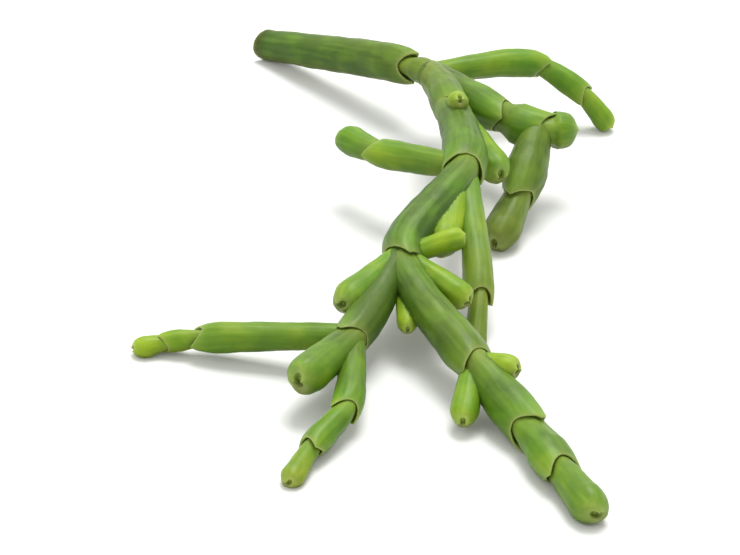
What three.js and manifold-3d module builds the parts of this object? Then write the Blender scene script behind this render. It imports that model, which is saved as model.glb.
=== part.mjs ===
// A cut sprig of marsh samphire, lying on a flat surface.
//
// The sprig is a fleshy green stem with no leaves to speak of. It is made of segments, and at each joint
// two short opposite leaf tips clasp the foot of the next segment. A segment swells from a narrow foot to
// a rounded shoulder, and side shoots, built in the same way, grow out of the joints. The tips are blunt.
//
// Millimetres, +Z up. The surface is z = 0, and the origin lies under the middle of the sprig. The cut
// end of the main stem is at the back left, and the stem runs forwards, along -Y.

import * as THREE from "three";
import { mergeVertices } from "three/addons/utils/BufferGeometryUtils.js";
import Module from "manifold-3d";

const wasm = await Module();
wasm.setup();

// Driving dimensions.
const SIDES = 12; // faces round a shoot
const GAP = 0.3; // clearance between two shoots
const CUT_END = [-9.03, 52.02, 1.65]; // middle of the main stem's cut face
const CUT_SLOPE = 0.35; // how far the knife's cut leans, as a share of the stem's radius
const CUT_WIDTH = 0.8; // width at the cut, as a share of the first segment's greatest width
const FOOT = 0.72; // width of any other segment's foot, as a share of its greatest width
const FOOT_LENGTH = 0.3; // length of its narrow part, as a share of that width
const COLLAR = 0.87; // width of the rim where it ends
const CLASP = 1; // the most that a rim can be wider than the foot that it clasps
const SHOULDER_LENGTH = 0.55; // length of the rounding below that rim
const BLUNT_LENGTH = 0.5; // length of the rounding of a shoot's end
const LEAF_LENGTH = 0.36; // how far a leaf tip reaches past its joint, as a share of the segment's width
const LEAF_SPREAD = 0.1; // how far it stands out from the rim, as a share of the rim's width
const LEAF_SHARPNESS = 3; // a higher power makes narrower leaf tips
const BUD_DIMPLE = 0.12; // depth of the dimple in a shoot's end, as a share of its width
const BEND = 0.25; // share of a segment's length over which it bends towards its joint
const STEM_GREEN = 0x4d7d22;
const SHOOT_GREEN = 0x5f9425;

// Every shoot lists its segments from foot to tip as [length, width, heading, climb]. Heading is in
// degrees from +X towards +Y, and climb is the angle above the surface. Turn sets where round the shoot
// its first pair of leaf tips is. A side shoot starts in the middle of a joint of its parent.
const SHOOTS = {
  main_stem: {
    turn: 110,
    segments: [
      [22.5, 4.7, -49, 14.7],
      [4.2, 3.4, -57, 11],
      [11, 4.5, -84, 7],
      [14.5, 5.2, -91, 1],
      [17.5, 5.2, -119.5, -9],
      [19, 5.0, -72.5, -8],
      [11, 5.1, -66, -9.5],
      [8, 4.8, -72, -4],
      [9, 4.2, -72.5, -2],
    ],
  },
  rear_right_shoot: {
    parent: "main_stem",
    joint: 2,
    turn: 60,
    segments: [
      [13.5, 3.5, 16, -3.5],
      [6, 3.0, -13, -28],
      [5.5, 2.8, -20, -46],
    ],
  },
  right_shoot: {
    parent: "main_stem",
    joint: 2,
    turn: 30,
    segments: [
      [13, 4.9, -59, 2],
      [5, 4.8, -36, -3],
      [4.1, 4.7, 8, -5],
    ],
  },
  lower_right_shoot: {
    parent: "right_shoot",
    joint: 2,
    turn: 80,
    segments: [
      [8.5, 5.2, -112, -30],
      [8, 4.3, -117, -21],
    ],
  },
  rear_left_shoot: {
    parent: "main_stem",
    joint: 4,
    turn: 0,
    segments: [
      [11, 3.7, 142, -9.5],
      [6.2, 3.6, 127, -6],
    ],
  },
  middle_shoot: {
    parent: "main_stem",
    joint: 4,
    turn: 20,
    segments: [
      [19, 3.5, -91, -17],
      [7.5, 2.7, -100, -30],
    ],
  },
  left_shoot: {
    parent: "main_stem",
    joint: 5,
    turn: 50,
    segments: [[11.2, 3.9, -131, -6]],
  },
  front_left_shoot: {
    parent: "main_stem",
    joint: 5,
    turn: 70,
    segments: [
      [14.5, 4.5, -117, -10],
      [11.8, 4.7, -124.5, 2],
    ],
  },
  far_left_shoot: {
    parent: "front_left_shoot",
    joint: 1,
    turn: 10,
    segments: [
      [16, 3.6, 167, -8],
      [3.9, 2.5, 169, -13],
      [3.8, 2.5, -173, -9],
    ],
  },
  near_left_shoot: {
    parent: "front_left_shoot",
    joint: 1,
    turn: 40,
    segments: [
      [12, 3.5, -99, -8],
      [7, 3.3, -125, -10],
      [6.5, 2.6, -118, -8],
    ],
  },
};

// Short side shoots that have hardly grown out yet. They are one piece with the main stem.
const BUDS = [
  { parent: "main_stem", joint: 3, turn: 0, segments: [[5.5, 2.6, -86, 38]] },
  { parent: "main_stem", joint: 3, turn: 0, segments: [[13, 3.9, -71, -9]] },
  { parent: "main_stem", joint: 4, turn: 30, segments: [[14, 3.9, -107, -13]] },
  { parent: "main_stem", joint: 5, turn: 60, segments: [[7, 2.8, 7, 16]] },
  { parent: "main_stem", joint: 5, turn: 45, segments: [[9.5, 3.4, -47, -10]] },
  { parent: "main_stem", joint: 5, turn: 0, segments: [[11, 2.3, -92, -16]] },
  { parent: "main_stem", joint: 6, turn: 30, segments: [[5.5, 3.1, -40, 11]] },
  { parent: "main_stem", joint: 6, turn: 0, segments: [[8.5, 3.1, -103, -18]] },
];

const UP = new THREE.Vector3(0, 0, 1);

function directionOf([, , heading, climb]) {
  const turn = THREE.MathUtils.degToRad(heading);
  const rise = THREE.MathUtils.degToRad(climb);
  const level = Math.cos(rise);
  return new THREE.Vector3(Math.cos(turn) * level, Math.sin(turn) * level, Math.sin(rise));
}

// The joints of a shoot, from its foot to its tip.
function jointsOf(shoot) {
  const foot = shoot.parent ? jointsOf(SHOOTS[shoot.parent])[shoot.joint] : new THREE.Vector3(...CUT_END);
  const joints = [foot];
  for (const segment of shoot.segments) {
    joints.push(joints.at(-1).clone().addScaledVector(directionOf(segment), segment[0]));
  }
  return joints;
}

// A smooth line through the joints, as one curve for each segment. It bends mostly near the joints.
function curvesOf(shoot) {
  const joints = jointsOf(shoot);
  const directions = shoot.segments.map(directionOf);
  const leans = joints.map((_, i) => {
    const before = directions[Math.max(i - 1, 0)];
    const after = directions[Math.min(i, directions.length - 1)];
    return before.clone().add(after).normalize();
  });
  return shoot.segments.map(([length], i) => {
    const leaving = joints[i].clone().addScaledVector(leans[i], length * BEND);
    const arriving = joints[i + 1].clone().addScaledVector(leans[i + 1], -length * BEND);
    return new THREE.CubicBezierCurve3(joints[i], leaving, arriving, joints[i + 1]);
  });
}

// The lower part of a segment's outline: distance from its foot, width as a share of its greatest width,
// and how much of the reach of the leaf tips below it is there.
function swellingOf([length, width], foot) {
  const start = FOOT_LENGTH * width;
  const end = length - BLUNT_LENGTH * width;
  const between = (share) => THREE.MathUtils.lerp(start, end, share);
  return [
    [0, foot, 1],
    [start, 0.79, 0.8],
    [between(0.35), 0.87, 0.5],
    [between(0.7), 0.94, 0.25],
  ];
}

// The upper part, with how much of the reach of its own leaf tips is there. The rim clasps the next foot.
function shoulderOf([length, width], nextWidth) {
  const rim = Math.min(COLLAR, (FOOT * nextWidth + CLASP) / width);
  return [
    [length - SHOULDER_LENGTH * width, 1, 0.1],
    [length - 0.2 * width, THREE.MathUtils.lerp(1, rim, 0.3), 0.5],
    [length, rim, 1],
  ];
}

// The upper part of the last segment, which closes over the bud.
function bluntEndOf([length, width]) {
  return [
    [length - BLUNT_LENGTH * width, 1, 0],
    [length - 0.22 * width, 0.9, 0.1],
    [length - 0.06 * width, 0.66, 0.3],
    [length, 0.36, 0.35],
  ];
}

// One cross-section, square to the shoot's curve.
function stationOn(curve, length, [distance, share, leaf], width, pair) {
  const along = curve.getTangentAt(distance / length);
  const right = along.clone().cross(UP).normalize();
  const top = right.clone().cross(along);
  const at = curve.getPointAt(distance / length);
  return { at, along, right, top, radius: (share * width) / 2, leaf, pair };
}

// Cross-sections all along a shoot. The leaf pairs of neighbouring joints are a quarter turn apart.
function stationsOf(shoot) {
  const { segments, turn } = shoot;
  const curves = curvesOf(shoot);
  return segments.flatMap((segment, i) => {
    const [length, width] = segment;
    const pairBelow = { angle: turn + 90 * (i - 1), width: i > 0 ? segments[i - 1][1] : 0, spread: 0 };
    const pairAbove = { angle: turn + 90 * i, width, spread: LEAF_SPREAD };
    const lower = swellingOf(segment, i === 0 && !shoot.parent ? CUT_WIDTH : FOOT);
    const upper = i === segments.length - 1 ? bluntEndOf(segment) : shoulderOf(segment, segments[i + 1][1]);
    return [
      ...lower.map((row) => stationOn(curves[i], length, row, width, pairBelow)),
      ...upper.map((row) => stationOn(curves[i], length, row, width, pairAbove)),
    ];
  });
}

// A shoot's surface: a cylinder whose rings are moved to the cross-sections. "grow" thickens it.
function surfaceOf(shoot, grow) {
  const stations = stationsOf(shoot);
  const last = stations.length - 1;
  const surface = bareGeometry(new THREE.CylinderGeometry(1, 1, last, SIDES, last));
  const position = surface.getAttribute("position");
  const vertex = new THREE.Vector3();
  for (let i = 0; i < position.count; i++) {
    vertex.fromBufferAttribute(position, i);
    const { x, z } = vertex;
    const index = Math.round(vertex.y + last / 2);
    const { at, along, right, top, radius, leaf, pair } = stations[index];
    const onAxis = Math.hypot(x, z) < 0.5;
    const turned = Math.atan2(z, x) - THREE.MathUtils.degToRad(pair.angle);
    const tip = onAxis ? 0 : leaf * Math.abs(Math.cos(turned)) ** LEAF_SHARPNESS;
    const reach = radius * (1 + pair.spread * tip) + grow;
    let forward = tip * LEAF_LENGTH * pair.width;
    if (leaf === 1 && index > 0) forward += grow;
    if (index === 0 && !shoot.parent) forward -= CUT_SLOPE * radius * x;
    if (index === last && onAxis) forward -= BUD_DIMPLE * pair.width;
    vertex.copy(at).addScaledVector(along, forward);
    vertex.addScaledVector(right, x * reach).addScaledVector(top, z * reach);
    position.setXYZ(i, vertex.x, vertex.y, vertex.z);
  }
  return surface;
}

// A geometry with nothing but its places, and with the vertices that share a place joined.
function bareGeometry(geometry) {
  geometry.deleteAttribute("normal");
  geometry.deleteAttribute("uv");
  return mergeVertices(geometry);
}

function solidOf(geometry) {
  const vertProperties = geometry.getAttribute("position").array;
  const triVerts = new Uint32Array(geometry.index.array);
  return new wasm.Manifold(new wasm.Mesh({ numProp: 3, vertProperties, triVerts }));
}

// A shoot's solid, with its buds.
function plantSolid(name, grow) {
  const buds = BUDS.filter((bud) => bud.parent === name);
  const solids = [SHOOTS[name], ...buds].map((shoot) => solidOf(surfaceOf(shoot, grow)));
  return solids.reduce((whole, solid) => whole.add(solid));
}

// Everything below the surface that the sprig lies on.
function groundSolid() {
  const size = 300;
  const depth = 20;
  const box = bareGeometry(new THREE.BoxGeometry(size, size, depth));
  return solidOf(box.translate(0, 0, -depth / 2));
}

function meshOf(name, solid, color) {
  const { vertProperties, triVerts, numProp } = solid.getMesh();
  const geometry = new THREE.BufferGeometry();
  geometry.setAttribute("position", new THREE.BufferAttribute(vertProperties, numProp));
  geometry.setIndex(new THREE.BufferAttribute(triVerts, 1));
  geometry.computeVertexNormals();
  const material = new THREE.MeshStandardMaterial({ color, roughness: 0.45, metalness: 0 });
  const mesh = new THREE.Mesh(geometry, material);
  mesh.name = name;
  return mesh;
}

// Each shoot keeps clear of those before it, and has flat spots where it lies on the surface.
const samphire = new THREE.Group();
let taken = groundSolid();
for (const name of Object.keys(SHOOTS)) {
  const bodies = plantSolid(name, 0).subtract(taken).decompose();
  const largest = bodies.sort((a, b) => b.volume() - a.volume())[0];
  samphire.add(meshOf(name, largest, name === "main_stem" ? STEM_GREEN : SHOOT_GREEN));
  taken = taken.add(plantSolid(name, GAP));
}

export default samphire;
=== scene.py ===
# A cut sprig of marsh samphire, lying on a pale surface.
from math import atan2, ceil, cos, pi, radians, sin

import bmesh
import bpy
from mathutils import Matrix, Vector, noise


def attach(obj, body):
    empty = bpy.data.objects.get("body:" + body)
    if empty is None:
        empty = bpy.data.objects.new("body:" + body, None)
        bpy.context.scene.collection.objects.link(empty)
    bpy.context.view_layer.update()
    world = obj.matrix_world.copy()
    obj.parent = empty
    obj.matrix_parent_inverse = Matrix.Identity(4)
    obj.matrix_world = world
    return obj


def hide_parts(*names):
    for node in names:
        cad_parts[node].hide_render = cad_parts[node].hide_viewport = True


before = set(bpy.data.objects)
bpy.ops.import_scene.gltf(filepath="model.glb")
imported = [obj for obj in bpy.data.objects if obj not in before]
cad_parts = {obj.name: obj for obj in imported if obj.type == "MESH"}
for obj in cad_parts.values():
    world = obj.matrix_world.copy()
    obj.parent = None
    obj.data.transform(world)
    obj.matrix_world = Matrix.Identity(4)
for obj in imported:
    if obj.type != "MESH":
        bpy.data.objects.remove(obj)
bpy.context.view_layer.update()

mm = 0.001
print("Frame loaded")


# How every shoot of this plant grows. Values are shares of a segment's width, unless they say otherwise.
habit = {
    "sides": 48,             # faces round a shoot
    "ringGap": 0.28,         # mm between two rings of the mesh
    "plumpness": 0.98,       # of the widths that the plans state
    "cutWidth": 0.8,         # the lower end, where it was cut
    "footWidth": 0.72,       # the narrow foot of any other segment
    "footLength": 0.3,
    "bodyWidths": ((0, 0.79), (0.35, 0.87), (0.7, 0.94)),  # share of the way on from the foot, width
    "collarWidth": 0.87,     # the rim where a segment ends
    "clasp": 1.0,            # mm, the most that a rim can be wider than the foot that it clasps
    "leastGroove": 0.22,     # mm, the least that the rim's radius is larger than the foot's
    "shoulderLength": 0.55,  # the rounding below that rim
    "bluntLength": 0.5,      # the rounding of a shoot's end
    "leafLength": 0.36,      # reach of a leaf tip past the rim
    "leafSpread": 0.1,       # how far it stands out, as a share of the rim's width
    "leafTaper": 0.9,        # higher makes narrower, sharper leaf tips
    "lip": 0.3,              # mm, thickness of the rim
    "cupDepth": 0.5,         # mm, the groove between the rim and the next foot
    "mouthWidth": 0.36,      # the opening that a blunt end closes down to
    "mouthReach": 0.35,      # how far its two lobes stand forward, as a share of a leaf tip
    "ovalness": 0.03,        # shoots are a little wider across their leaf tips
    "bend": 0.25,            # share of a segment's length over which it bends towards its joint
    "jointReach": 1.1,       # how far up from a joint its paler skin shows
    "cutReach": 1.6,         # mm, how far the brown of the cut end runs along the skin
}

# The relief of the skin. Each kind has its waves to a mm, and its height as a share of the radius.
relief = {
    "swellings": (0.35, 0.06),
    "bumps": (1.1, 0.02),
    "ribs": (0.08, 0.04),
    "radius": 2,              # mm, of the rod on which the swellings and bumps are read
    "ribsRadius": 3,          # mm, the same for the ribs: higher makes more of them round the shoot
    "cutGrain": (1.7, 0.03),  # on the cut face, with its height in mm
    "slack": 0.03,            # share of the radius taken off, so that swellings keep to the plan's width
    "shift": 3.7,             # higher sets the patterns of neighbouring shoots further apart
}


def directionOf(segment):
    heading, climb = radians(segment[2]), radians(segment[3])
    return Vector((cos(heading) * cos(climb), sin(heading) * cos(climb), sin(climb)))


def jointsOf(plan):
    joints = [Vector(plan["foot"])]
    for segment in plan["segments"]:
        joints.append(joints[-1] + directionOf(segment) * segment[0])
    return joints


# A smooth line through the joints: each segment has four handles.
def handlesOf(plan):
    joints = jointsOf(plan)
    directions = [directionOf(segment) for segment in plan["segments"]]
    before = directions[:1] + directions
    after = directions + directions[-1:]
    leans = [(a + b).normalized() for a, b in zip(before, after)]
    handles = []
    for i, segment in enumerate(plan["segments"]):
        reach = segment[0] * habit["bend"]
        leaving = joints[i] + leans[i] * reach
        arriving = joints[i + 1] - leans[i + 1] * reach
        handles.append([joints[i], leaving, arriving, joints[i + 1]])
    return handles


# The place and direction at a share of a segment's line.
def placeOn(handles, share):
    while len(handles) > 2:
        handles = [a.lerp(b, share) for a, b in zip(handles, handles[1:])]
    start, end = handles
    return start.lerp(end, share), (end - start).normalized()


# How much of a segment's line has been run after each of many even steps of its handles' share.
def pacesOf(handles):
    steps = 40
    places = [placeOn(handles, step / steps)[0] for step in range(steps + 1)]
    paces = [0]
    for a, b in zip(places, places[1:]):
        paces.append(paces[-1] + (b - a).length)
    return [pace / paces[-1] for pace in paces]


# The handles' share at which a share of the line has been run.
def shareOf(paces, run):
    i = max([n for n in range(len(paces) - 1) if paces[n] <= run], default=0)
    return (i + (run - paces[i]) / (paces[i + 1] - paces[i])) / (len(paces) - 1)


# The height of a smooth line through some points.
def smoothLine(points, at):
    last = len(points) - 2
    i = max([n for n in range(last + 1) if points[n][0] <= at], default=0)
    (x0, y0), (x1, y1) = points[i], points[i + 1]

    def slopeAt(n):
        before, after = points[max(n - 1, 0)], points[min(n + 1, last + 1)]
        return (after[1] - before[1]) / (after[0] - before[0])

    span = x1 - x0
    t = (at - x0) / span
    rising = t * t * (3 - 2 * t)
    bend = span * t * (1 - t) * ((1 - t) * slopeAt(i) - t * slopeAt(i + 1))
    return y0 + (y1 - y0) * rising + bend


def clamp(value):
    return min(max(value, 0), 1)


# The width of a segment's rim, which clasps the foot of the next.
def rimOf(width, nextWidth):
    return min(habit["collarWidth"], (habit["footWidth"] * nextWidth + habit["clasp"]) / width)


# The width of a segment between its foot and its rim or rounded end, as points of a smooth line.
def outlineOf(length, width, foot, rim):
    start = habit["footLength"] * width
    end = length - habit["bluntLength"] * width
    lower = [(0, foot)] + [(start + (end - start) * way, share) for way, share in habit["bodyWidths"]]
    if rim is None:
        return lower + [(end, 1), (length, 0.96)]
    return lower + [
        (length - habit["shoulderLength"] * width, 1),
        (length - 0.2 * width, 0.7 + 0.3 * rim),
        (length, rim),
    ]


# The rings of a shoot's mesh, from foot to tip. Each has its place on the line, its radius, how far the leaf
# tips above and below push it forwards, and how young and how near to a joint the skin is there.
def ringsOf(plan):
    segments = plan["segments"]
    handles = handlesOf(plan)
    paces = [pacesOf(line) for line in handles]
    grown = 0
    rings = []

    def addRing(i, distance, radius, above=0, below=0, spread=0, joint=0, rim=0, pinch=0, cut=0):
        length, width = segments[i][:2]
        run = clamp(distance / length)
        at, along = placeOn(handles[i], shareOf(paces[i], run))
        right = along.cross(Vector((0, 0, 1))).normalized()
        youth, olive = [plan[key][i] + (plan[key][i + 1] - plan[key][i]) * run for key in ("youth", "olive")]
        nearCut = clamp(1 - (grown + distance) / (habit["footLength"] * width))
        rings.append({
            "at": at + along * (distance - run * length),
            "along": along, "right": right, "top": right.cross(along),
            "radius": radius * habit["plumpness"],
            "above": above * habit["leafLength"] * width,
            "below": below * habit["leafLength"] * (segments[i - 1][1] if i else 0),
            "pair": i, "spread": spread, "pinch": pinch,
            "grown": grown + distance,
            "youth": youth, "olive": olive, "joint": joint, "rim": rim, "cut": cut,
            "lean": plan.get("cutSlope", 0) * nearCut,
        })

    for i, (length, width, *_) in enumerate(segments):
        isCut = i == 0 and "cutFace" in plan
        atTip = i == len(segments) - 1
        foot = habit["cutWidth" if isCut else "footWidth"]
        rim = None if atTip else rimOf(width, segments[i + 1][1])
        outline = outlineOf(length, width, foot, rim)
        shoulder = habit["shoulderLength"] * width
        end = length - habit["bluntLength"] * width if atTip else length
        steps = ceil(end / habit["ringGap"])
        if isCut:
            for depth, share in plan["cutFace"]:
                addRing(0, depth, share * foot * width / 2, cut=1)
        for step in range(steps + 1):
            distance = end * step / steps
            nearRim = clamp(1 - (length - distance) / shoulder)
            nearFoot = clamp(1 - distance / (habit["jointReach"] * width)) if i else 0
            addRing(
                i,
                distance,
                smoothLine(outline, distance) * width / 2,
                above=0 if atTip else nearRim ** 1.4,
                below=0.5 * nearFoot ** 1.5,
                spread=0 if atTip else habit["leafSpread"] * nearRim ** 1.6,
                joint=max(nearFoot ** 2, 0.35 * nearRim ** 3),
                rim=0.25 * nearRim ** 8,
                cut=clamp(1 - distance / habit["cutReach"]) if isCut else 0,
            )
        if atTip:
            addBluntEnd(addRing, i, length, width)
        else:
            addCollar(addRing, i, length, width, segments[i + 1][1])
        grown += length
    return rings


# Over the rim, down into the cup inside it, and on to the foot of the next segment.
def addCollar(addRing, i, length, width, nextWidth):
    rim = rimOf(width, nextWidth) * width / 2
    foot = min(habit["footWidth"] * nextWidth / 2, rim - habit["leastGroove"])
    lip = min(habit["lip"], (rim - foot) * 0.6)
    rings = [  # mm past the joint, radius, reach and spread of the leaf tips, tints of joint and rim
        (0.07, rim - 0.03, 1, 1, 0.4, 0.8),
        (0.11, rim - lip * 0.35, 1, 1, 0.4, 1),
        (0.08, rim - lip * 0.8, 0.98, 1, 0.5, 1),
        (-0.02, rim - lip, 0.92, 0.95, 0.7, 0.6),
        (-0.2, rim - lip * 1.05, 0.75, 0.7, 0.9, 0.2),
        (-0.4, rim - (rim - foot) * 0.8, 0.58, 0.25, 1, 0),
        (-habit["cupDepth"], foot, 0.5, 0, 1, 0),
    ]
    for past, radius, reach, spread, joint, tint in rings:
        addRing(i, length + past, radius, reach, spread=habit["leafSpread"] * spread, joint=joint, rim=tint)


# A round end that closes down to a small mouth, with the resting bud inside it.
def addBluntEnd(addRing, i, length, width):
    rounding = habit["bluntLength"] * width
    mouth = habit["mouthWidth"]
    arcSteps = 9
    for step in range(1, arcSteps + 1):
        turn = pi / 2 * step / arcSteps
        share = mouth + (1 - mouth) * cos(turn)
        distance = length - rounding * (1 - sin(turn))
        rising = sin(turn) ** 3
        lobes = habit["mouthReach"] * rising
        addRing(i, distance, share * width / 2, lobes, rim=0.5 * rising ** 2, pinch=0.3 * rising)
    inside = [  # distance short of the end, width, reach of the lobes, tint of the rim, pinch: shares
        (0.0, 0.31, 0.35, 0.8, 0.35),
        (0.02, 0.27, 0.3, 0.6, 0.4),
        (0.06, 0.22, 0.18, 0.2, 0.4),
        (0.08, 0.17, 0.08, 0, 0.2),
        (0.07, 0.12, 0, 0, 0),
        (0.04, 0.08, 0, 0, 0),
        (0.03, 0.03, 0, 0, 0),
    ]
    for short, share, reach, rim, pinch in inside:
        addRing(i, length - short * width, share * width / 2, reach, rim=rim, pinch=pinch, joint=1 - rim)


# A straight rod with one ring of vertices for each ring of the shoot, still to be bent into shape.
def straightRod(ringCount):
    bm = bmesh.new()
    bmesh.ops.create_cone(bm, cap_ends=True, cap_tris=True, segments=habit["sides"],
                          radius1=1, radius2=1, depth=ringCount - 1)
    upright = [edge for edge in bm.edges if abs(edge.verts[0].co.z - edge.verts[1].co.z) > 0.5]
    bmesh.ops.subdivide_edges(bm, edges=upright, cuts=ringCount - 2, use_grid_fill=True)
    bmesh.ops.translate(bm, vec=(0, 0, (ringCount - 1) / 2), verts=bm.verts)
    return bm


# How much of a leaf tip there is at an angle round the shoot: 1 in the middle of either tip of the pair.
def leafAt(angle):
    return (1 - abs(sin(angle))) ** habit["leafTaper"]


# A place in mm on a straight rod, at which patterns are read.
def onRod(radius, angle, grown, offset):
    return Vector((cos(angle) * radius, sin(angle) * radius, grown)) + offset


# How far slow swellings and faint lengthwise ribs lift the skin, as a share of its radius.
def reliefAt(angle, grown, offset):
    waves, height = relief["ribs"]
    lifted = noise.noise(onRod(relief["ribsRadius"], angle, grown * waves, offset)) * height
    for waves, height in (relief["swellings"], relief["bumps"]):
        lifted += noise.noise(onRod(relief["radius"], angle, grown, offset) * waves) * height
    return lifted - relief["slack"]


# What a shoot's mesh keeps for its skin: how young or olive it is, how near to a joint, on the rim,
# facing down or by the cut. It also keeps its place on the straight shoot, which the patterns follow.
skinMarks = ("youth", "olive", "joint", "rim", "under", "cut")


# A shoot's mesh: the rod, bent to the rings of its plan.
def growShoot(name, plan):
    rings = ringsOf(plan)
    bm = straightRod(len(rings))
    marks = {key: bm.verts.layers.float.new(key) for key in skinMarks}
    straight = bm.verts.layers.float_vector.new("straight")
    offset = Vector(plan["foot"]) * relief["shift"]
    cutRings = len(plan.get("cutFace", []))
    for vert in bm.verts:
        index = round(vert.co.z)
        ring = rings[index]
        onAxis = vert.co.xy.length < 0.5
        angle = atan2(-vert.co.y, vert.co.x) + radians(plan["turn"])
        pairAngle = radians(plan["turn"] + 90 * ring["pair"])
        above = 0 if onAxis else leafAt(angle - pairAngle)
        below = 0 if onAxis else leafAt(angle - pairAngle + pi / 2)
        side = ring["right"] * cos(angle) + ring["top"] * sin(angle)

        radius, grown = ring["radius"], ring["grown"]
        shape = 1 + reliefAt(angle, grown, offset)
        shape += (habit["ovalness"] - ring["pinch"]) * cos(2 * (angle - pairAngle))
        reach = 0 if onAxis else radius * shape * (1 + ring["spread"] * above)
        forward = above * ring["above"] + below * ring["below"]
        if not onAxis:
            forward -= ring["lean"] * radius * cos(angle)
        if index < cutRings:
            waves, height = relief["cutGrain"]
            forward += (noise.noise(onRod(relief["radius"], angle, grown, offset) * waves) + 1) * height
        vert.co = (ring["at"] + side * reach + ring["along"] * forward) * mm
        vert.co.z = max(vert.co.z, 0)  # it lies on flat spots

        vert[straight] = onRod(radius, angle, grown, offset)
        for key in ("olive", "joint", "rim", "cut"):
            vert[marks[key]] = ring[key]
        vert[marks["youth"]] = ring["youth"] + 0.3 * above * clamp(ring["above"])
        # how far the skin faces down: it sets the painted shade and the olive wear below, and the bloom with
        # its painted sheen above
        vert[marks["under"]] = clamp(-side.z * 0.5 + 0.5)
    for face in bm.faces:
        face.smooth = True
    mesh = bpy.data.meshes.new(name)
    bm.to_mesh(mesh)
    bm.free()
    shoot = bpy.data.objects.new(name, mesh)
    bpy.context.scene.collection.objects.link(shoot)
    return shoot


# One closed skin over a shoot and the buds on it.
def joinBuds(shoot, buds):
    for bud in buds:
        union = shoot.modifiers.new("joinBud", "BOOLEAN")
        union.operation = "UNION"
        union.solver = "MANIFOLD"
        union.object = bud
    evaluated = shoot.evaluated_get(bpy.context.evaluated_depsgraph_get())
    joined = bpy.data.meshes.new_from_object(evaluated)
    shoot.modifiers.clear()
    shoot.data = joined
    for bud in buds:
        bpy.data.objects.remove(bud)


# The surface of a node of the frame: it takes the node's place and rides with its body.
def dress(shoot, node, material):
    shoot.data.materials.clear()  # the joining leaves an empty slot
    shoot.data.materials.append(material)
    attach(shoot, "root")
    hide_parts(node)


# Adds a node with its settings, and sets or links its inputs.
def addNode(tree, kind, inputs=None, **settings):
    made = tree.nodes.new(kind)
    for key, value in settings.items():
        setattr(made, key, value)
    for key, value in (inputs or {}).items():
        if isinstance(value, bpy.types.NodeSocket):
            tree.links.new(value, made.inputs[key])
        else:
            made.inputs[key].default_value = value
    return made


# An sRGB hex colour as linear red, green, blue and alpha.
def colour(hexText):
    shares = [int(hexText[i:i + 2], 16) / 255 for i in (1, 3, 5)]
    return [s / 12.92 if s <= 0.04045 else ((s + 0.055) / 1.055) ** 2.4 for s in shares] + [1]


def newMaterial(name):
    material = bpy.data.materials.new(name)
    material.use_nodes = True
    tree = material.node_tree
    tree.nodes.clear()
    surface = addNode(tree, "ShaderNodeBsdfPrincipled")
    addNode(tree, "ShaderNodeOutputMaterial", {"Surface": surface.outputs["BSDF"]})
    return material, tree, surface


# Samphire skin: turgid, waxy epidermis over clear green flesh. It gives the eye a satin sheen with a faint
# grey-green bloom on its upper side, painted paler there as a painted sheen, painted shade where it faces
# down, paler and yellower skin near the joints, yellow-green tips, and the brown of the cut end where it has
# dried.
skinLooks = {
    "oldGreen": "#2c5409",
    "freshGreen": "#548709",
    "youngGreen": "#8fab12",
    "jointGreen": "#839636",
    # painted shade, for the skin that faces down
    "shadeGreen": "#254508",
    "olive": "#6f6a22",
    # the waxy bloom, painted paler on the upper side as a painted sheen
    "sheenAndBloomGrey": "#a8b966",
    "rimStraw": "#bcc27e",
    "cutBrown": "#494022",
    "patchSize": 3.5,       # mm, soft changes of tone
    "patchContrast": 1.1,   # how much younger or older they make the skin
    "streakWidth": 0.7,     # mm, lengthwise streaks
    "streakLength": 7,      # mm
    "streakContrast": 0.5,
    "cellSize": 0.32,       # mm, drawn larger than the real pores so that they show
    "ribHeight": 0.08,      # mm, of the bump that follows the streaks
    "cellHeight": 0.03,     # mm
    "jointTint": 0.6,
    "shadeTint": 0.7,
    "wear": 0.9,            # olive patches on the underside
    "sheenAndBloom": 0.35,
    "rimTint": 0.5,
    "smoothest": 0.3,       # roughness of the glossiest patches
    "roughest": 0.48,
    "fleshDepth": 1.2,      # mm that light goes into the flesh
}


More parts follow.
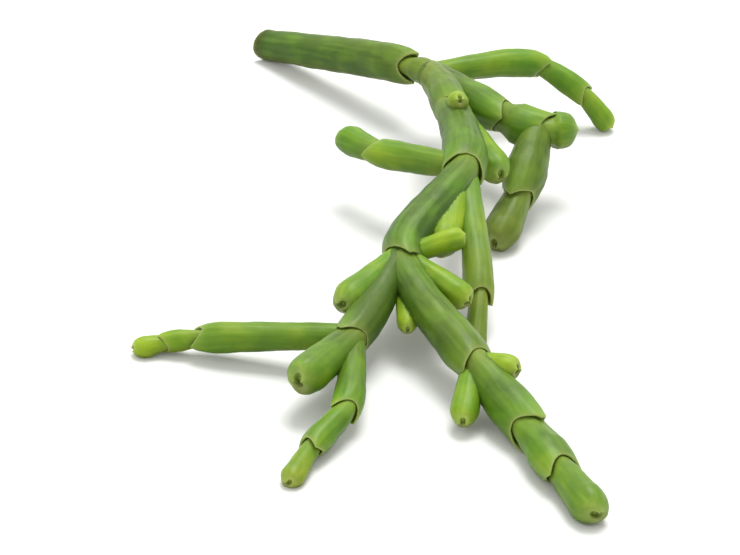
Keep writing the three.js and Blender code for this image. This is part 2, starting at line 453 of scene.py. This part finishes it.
def fleshySkin(name, looks):
    material, tree, surface = newMaterial(name)
    youth, olive, joint, rim, under, cut = [
        addNode(tree, "ShaderNodeAttribute", attribute_name=key).outputs["Fac"] for key in skinMarks
    ]
    place = addNode(tree, "ShaderNodeAttribute", attribute_name="straight").outputs["Vector"]
    lengthwise = addNode(tree, "ShaderNodeMapping", {
        "Vector": place, "Scale": (1, 1, looks["streakWidth"] / looks["streakLength"]),
    }).outputs[0]
    patches = addNode(tree, "ShaderNodeTexNoise", {
        "Vector": place, "Scale": 1 / looks["patchSize"], "Detail": 3,
    }).outputs[0]
    streaks = addNode(tree, "ShaderNodeTexNoise", {
        "Vector": lengthwise, "Scale": 1 / looks["streakWidth"], "Detail": 2,
    }).outputs[0]
    cells = addNode(tree, "ShaderNodeTexVoronoi", {
        "Vector": place, "Scale": 1 / looks["cellSize"],
    }).outputs["Distance"]

    # patches and streaks make the skin look younger here and older there
    patchy = addNode(tree, "ShaderNodeMath", {
        0: patches, 1: looks["patchContrast"], 2: youth,
    }, operation="MULTIPLY_ADD").outputs[0]
    streaky = addNode(tree, "ShaderNodeMath", {
        0: streaks, 1: looks["streakContrast"], 2: patchy,
    }, operation="MULTIPLY_ADD").outputs[0]
    freshness = addNode(tree, "ShaderNodeMath", {
        0: streaky, 1: (looks["patchContrast"] + looks["streakContrast"]) / 2,
    }, operation="SUBTRACT", use_clamp=True).outputs[0]
    ramp = addNode(tree, "ShaderNodeValToRGB", {"Fac": freshness})
    ramp.color_ramp.elements[0].color = colour(looks["oldGreen"])
    ramp.color_ramp.elements[1].color = colour(looks["youngGreen"])
    ramp.color_ramp.elements.new(0.5).color = colour(looks["freshGreen"])

    # painted shade darkens the underside, which is also worn olive, and the upper side has the bloom with a
    # painted sheen
    shaded = addNode(tree, "ShaderNodeMath", {0: under, 1: 1.6}, operation="POWER").outputs[0]
    lowest = addNode(tree, "ShaderNodeMath", {0: under, 1: 3}, operation="POWER").outputs[0]
    worn = addNode(tree, "ShaderNodeMath", {0: lowest, 1: looks["wear"]}, operation="MULTIPLY").outputs[0]
    faded = addNode(tree, "ShaderNodeMath", {0: worn, 1: olive}, operation="MAXIMUM").outputs[0]
    upper = addNode(tree, "ShaderNodeMath", {0: 1, 1: under}, operation="SUBTRACT").outputs[0]
    topmost = addNode(tree, "ShaderNodeMath", {0: upper, 1: 2}, operation="POWER").outputs[0]
    waxySheen = addNode(tree, "ShaderNodeMath", {0: topmost, 1: streaks}, operation="MULTIPLY").outputs[0]
    dried = addNode(tree, "ShaderNodeMath", {0: cut, 1: 2}, operation="POWER").outputs[0]

    # each tint covers the skin where its mark is strong, by at most its share
    tone = ramp.outputs["Color"]
    tints = [
        (joint, looks["jointTint"], "jointGreen"),
        (shaded, looks["shadeTint"], "shadeGreen"),
        (faded, patches, "olive"),
        (waxySheen, looks["sheenAndBloom"], "sheenAndBloomGrey"),
        (rim, looks["rimTint"], "rimStraw"),
        (dried, 1, "cutBrown"),
    ]
    for mark, most, hue in tints:
        share = addNode(tree, "ShaderNodeMath", {0: mark, 1: most}, operation="MULTIPLY").outputs[0]
        tone = addNode(tree, "ShaderNodeMix", {
            0: share, 6: tone, 7: colour(looks[hue]),
        }, data_type="RGBA").outputs[2]
    tree.links.new(tone, surface.inputs["Base Color"])

    gloss = addNode(tree, "ShaderNodeMapRange", {
        "Value": patches, "To Min": looks["smoothest"], "To Max": looks["roughest"],
    }).outputs[0]
    tree.links.new(gloss, surface.inputs["Roughness"])
    ribs = addNode(tree, "ShaderNodeBump", {
        "Height": streaks, "Strength": 0.35, "Distance": looks["ribHeight"] * mm,
    })
    pores = addNode(tree, "ShaderNodeBump", {
        "Height": cells, "Strength": 0.3, "Distance": looks["cellHeight"] * mm, "Normal": ribs.outputs[0],
    })
    tree.links.new(pores.outputs[0], surface.inputs["Normal"])
    surface.inputs["IOR"].default_value = 1.38
    surface.inputs["Specular IOR Level"].default_value = 0.28
    surface.inputs["Subsurface Weight"].default_value = 0.2
    surface.inputs["Subsurface Radius"].default_value = (0.6, 1.0, 0.25)
    surface.inputs["Subsurface Scale"].default_value = looks["fleshDepth"] * mm
    return material


stemSkin = fleshySkin("samphireStemSkin", skinLooks)
shootSkin = fleshySkin("samphireShootSkin", skinLooks)
print("Materials made")


# Every plan lists its segments from foot to tip as (length, width, heading, climb), in mm and degrees.
# Heading is from +X towards +Y, and climb is the angle above the surface. "turn" is where the first pair
# of leaf tips sits. "youth" and "olive" have a value for the foot, each joint and the tip. Youth is 0 in
# old, dark skin and 1 in the youngest, and below 0 it keeps even the patches dark.
mainStem = {
    "foot": (-9.03, 52.02, 1.65),
    "turn": 110,
    "youth": (0.0, 0.12, 0.3, 0.15, 0.1, 0.05, 0.2, 0.35, 0.4, 0.6),
    "olive": (0.0, 0.3, 0.9, 0.2, 0.0, 0.0, 0.4, 0.0, 0.1, 0.5),
    "segments": [
        (22.5, 4.7, -49, 14.7),
        (4.2, 3.4, -57, 11),
        (11, 4.5, -84, 7),
        (14.5, 5.2, -91, 1),
        (17.5, 5.2, -119.5, -9),
        (19, 5.0, -72.5, -8),
        (11, 5.1, -66, -9.5),
        (8, 4.8, -72, -4),
        (9, 4.2, -72.5, -2),
    ],
    "cutSlope": 0.35,  # rise of the slanting cut for each mm across it
    "cutFace": [  # rings from the middle of the cut to its edge: depth in mm, share of the cut's width
        (0.1, 0.08), (0.12, 0.16), (0.3, 0.22), (0.34, 0.5), (0.28, 0.8), (0.12, 0.93), (0.05, 0.98),
    ],
}
mainJoints = jointsOf(mainStem)
mainShoot = growShoot("mainStem", mainStem)

# Short side shoots that have hardly grown out, one skin with the main stem.
buds = [
    {"foot": mainJoints[3], "turn": 0, "youth": (0.6, 0.9), "segments": [(5.4, 2.5, -86, 37)]},
    {"foot": mainJoints[3], "turn": 0, "youth": (0.6, 0.7), "segments": [(13, 3.9, -71, -9)]},
    {"foot": mainJoints[4], "turn": 30, "youth": (0.75, 0.85), "segments": [(14, 3.9, -107, -13)]},
    {"foot": mainJoints[5], "turn": 60, "youth": (0.7, 0.9), "segments": [(7, 2.8, 7, 16)]},
    {"foot": mainJoints[5], "turn": 45, "youth": (0.55, 0.8), "segments": [(9.5, 3.4, -47, -10)]},
    {"foot": mainJoints[5], "turn": 0, "youth": (0.6, 0.9), "segments": [(11, 2.3, -92, -16)]},
    {"foot": mainJoints[6], "turn": 30, "youth": (0.6, 0.9), "segments": [(5.5, 3.1, -40, 11)]},
    {"foot": mainJoints[6], "turn": 0, "youth": (0.4, 0.7), "segments": [(8.5, 3.1, -103, -18)]},
]
joinBuds(mainShoot, [growShoot("bud", {"olive": (0, 0), **bud}) for bud in buds])
dress(mainShoot, "main_stem", stemSkin)
print("Main stem grown")

rearRightShoot = {
    "foot": mainJoints[2],
    "turn": 60,
    "youth": (0.55, 0.5, 0.45, 0.8),
    "olive": (0.3, 0.0, 0.0, 0.0),
    "segments": [(13.5, 3.5, 16, -3.5), (6, 3.0, -13, -28), (5.5, 2.8, -20, -46)],
}
dress(growShoot("rearRightShoot", rearRightShoot), "rear_right_shoot", shootSkin)

rightShoot = {
    "foot": mainJoints[2],
    "turn": 30,
    "youth": (0.1, 0.25, 0.4, 0.4),
    "olive": (0.4, 0.0, 0.0, 0.3),
    "segments": [(13, 4.9, -59, 2), (5, 4.8, -36, -3), (4.1, 4.7, 8, -5)],
}
dress(growShoot("rightShoot", rightShoot), "right_shoot", shootSkin)

lowerRightShoot = {
    "foot": jointsOf(rightShoot)[2],
    "turn": 80,
    "youth": (0.2, 0.2, 0.3),
    "olive": (0.5, 0.4, 1.0),
    "segments": [(8.5, 5.2, -112, -30), (8, 4.3, -117, -21)],
}
dress(growShoot("lowerRightShoot", lowerRightShoot), "lower_right_shoot", shootSkin)

rearLeftShoot = {
    "foot": mainJoints[4],
    "turn": 0,
    "youth": (0.6, 0.5, 0.45),
    "olive": (0.8, 0.0, 0.0),
    "segments": [(11, 3.7, 142, -9.5), (6.2, 3.6, 127, -6)],
}
dress(growShoot("rearLeftShoot", rearLeftShoot), "rear_left_shoot", shootSkin)

middleShoot = {
    "foot": mainJoints[4],
    "turn": 20,
    "youth": (0.6, 0.45, 0.5),
    "olive": (0.0, 0.8, 1.0),
    "segments": [(19, 3.5, -91, -17), (7.5, 2.7, -100, -30)],
}
dress(growShoot("middleShoot", middleShoot), "middle_shoot", shootSkin)

leftShoot = {
    "foot": mainJoints[5],
    "turn": 50,
    "youth": (0.6, 0.55),
    "olive": (0.0, 0.2),
    "segments": [(11.2, 3.9, -131, -6)],
}
dress(growShoot("leftShoot", leftShoot), "left_shoot", shootSkin)

frontLeftShoot = {
    "foot": mainJoints[5],
    "turn": 70,
    # its foot's youth below 0 darkens the first segment, as old skin and as painted shade
    "youth": (-0.1, 0.0, 0.55),
    "olive": (0.0, 0.2, 0.2),
    "segments": [(14.5, 4.5, -117, -10), (11.8, 4.7, -124.5, 2)],
}
dress(growShoot("frontLeftShoot", frontLeftShoot), "front_left_shoot", shootSkin)
frontLeftFork = jointsOf(frontLeftShoot)[1]

farLeftShoot = {
    "foot": frontLeftFork,
    "turn": 10,
    "youth": (0.45, 0.5, 0.8, 1.0),
    "olive": (0.3, 0.3, 0.0, 0.0),
    "segments": [(16, 3.6, 167, -8), (3.9, 2.5, 169, -13), (3.75, 2.5, -173, -9)],
}
dress(growShoot("farLeftShoot", farLeftShoot), "far_left_shoot", shootSkin)

nearLeftShoot = {
    "foot": frontLeftFork,
    "turn": 40,
    "youth": (0.35, 0.35, 0.5, 0.9),
    "olive": (0.6, 0.0, 0.2, 0.7),
    "segments": [(12, 3.5, -99, -8), (7, 3.3, -125, -10), (6.5, 2.6, -118, -8)],
}
dress(growShoot("nearLeftShoot", nearLeftShoot), "near_left_shoot", shootSkin)
print("Side shoots grown")


# A plain white table top with matt paint, which gives the eye an even, shadow-catching white.
floorLooks = {
    "size": 3.0,  # metres
    "paint": "#f4f4f2",
    "roughness": 0.7,
}
bpy.ops.mesh.primitive_plane_add(size=floorLooks["size"], location=(0, 0, 0))
floor = bpy.context.object
floor.name = "tableTop"
tablePaint, _, paintSurface = newMaterial("mattWhitePaint")
paintSurface.inputs["Base Color"].default_value = colour(floorLooks["paint"])
paintSurface.inputs["Roughness"].default_value = floorLooks["roughness"]
floor.data.materials.append(tablePaint)

# The camera looks down on the sprig from the tips' side, places in mm.
lens = {
    "place": (-71.2, -496.7, 283.6),
    "aim": (-3.6, -9.4, 5),
    "focal": 255,
    "sensor": 36,
    "roll": 3.6,  # degrees
}
cameraData = bpy.data.cameras.new("camera")
cameraData.lens = lens["focal"]
cameraData.sensor_width = lens["sensor"]
camera = bpy.data.objects.new("camera", cameraData)
bpy.context.scene.collection.objects.link(camera)
camera.location = Vector(lens["place"]) * mm
towards = Vector(lens["aim"]) * mm - camera.location
camera.rotation_euler = towards.to_track_quat("-Z", "Y").to_euler()
camera.rotation_euler.rotate_axis("Z", radians(lens["roll"]))
bpy.context.scene.camera = camera
bpy.context.scene.view_settings.view_transform = "Standard"

# Soft studio light: one broad lamp above and behind, one from the left, and white surroundings.
studioLight = {
    "overheadLamp": {"place": (0.1, 0.35, 0.9), "size": 0.5, "power": 7.5},  # metres and watts
    "sideLamp": {"place": (-0.8, -0.3, 0.5), "size": 0.6, "power": 1.2},
}
surroundings = {
    "colour": "#ffffff",
    "strength": 0.82,
}
for name, light in studioLight.items():
    lampData = bpy.data.lights.new(name, "AREA")
    lampData.size = light["size"]
    lampData.energy = light["power"]
    lamp = bpy.data.objects.new(name, lampData)
    bpy.context.scene.collection.objects.link(lamp)
    lamp.location = light["place"]
    lamp.rotation_euler = (-Vector(light["place"])).to_track_quat("-Z", "Y").to_euler()
world = bpy.data.worlds.new("studio")
bpy.context.scene.world = world
world.use_nodes = True
background = world.node_tree.nodes["Background"]
background.inputs["Color"].default_value = colour(surroundings["colour"])
background.inputs["Strength"].default_value = surroundings["strength"]
print("Stage set")
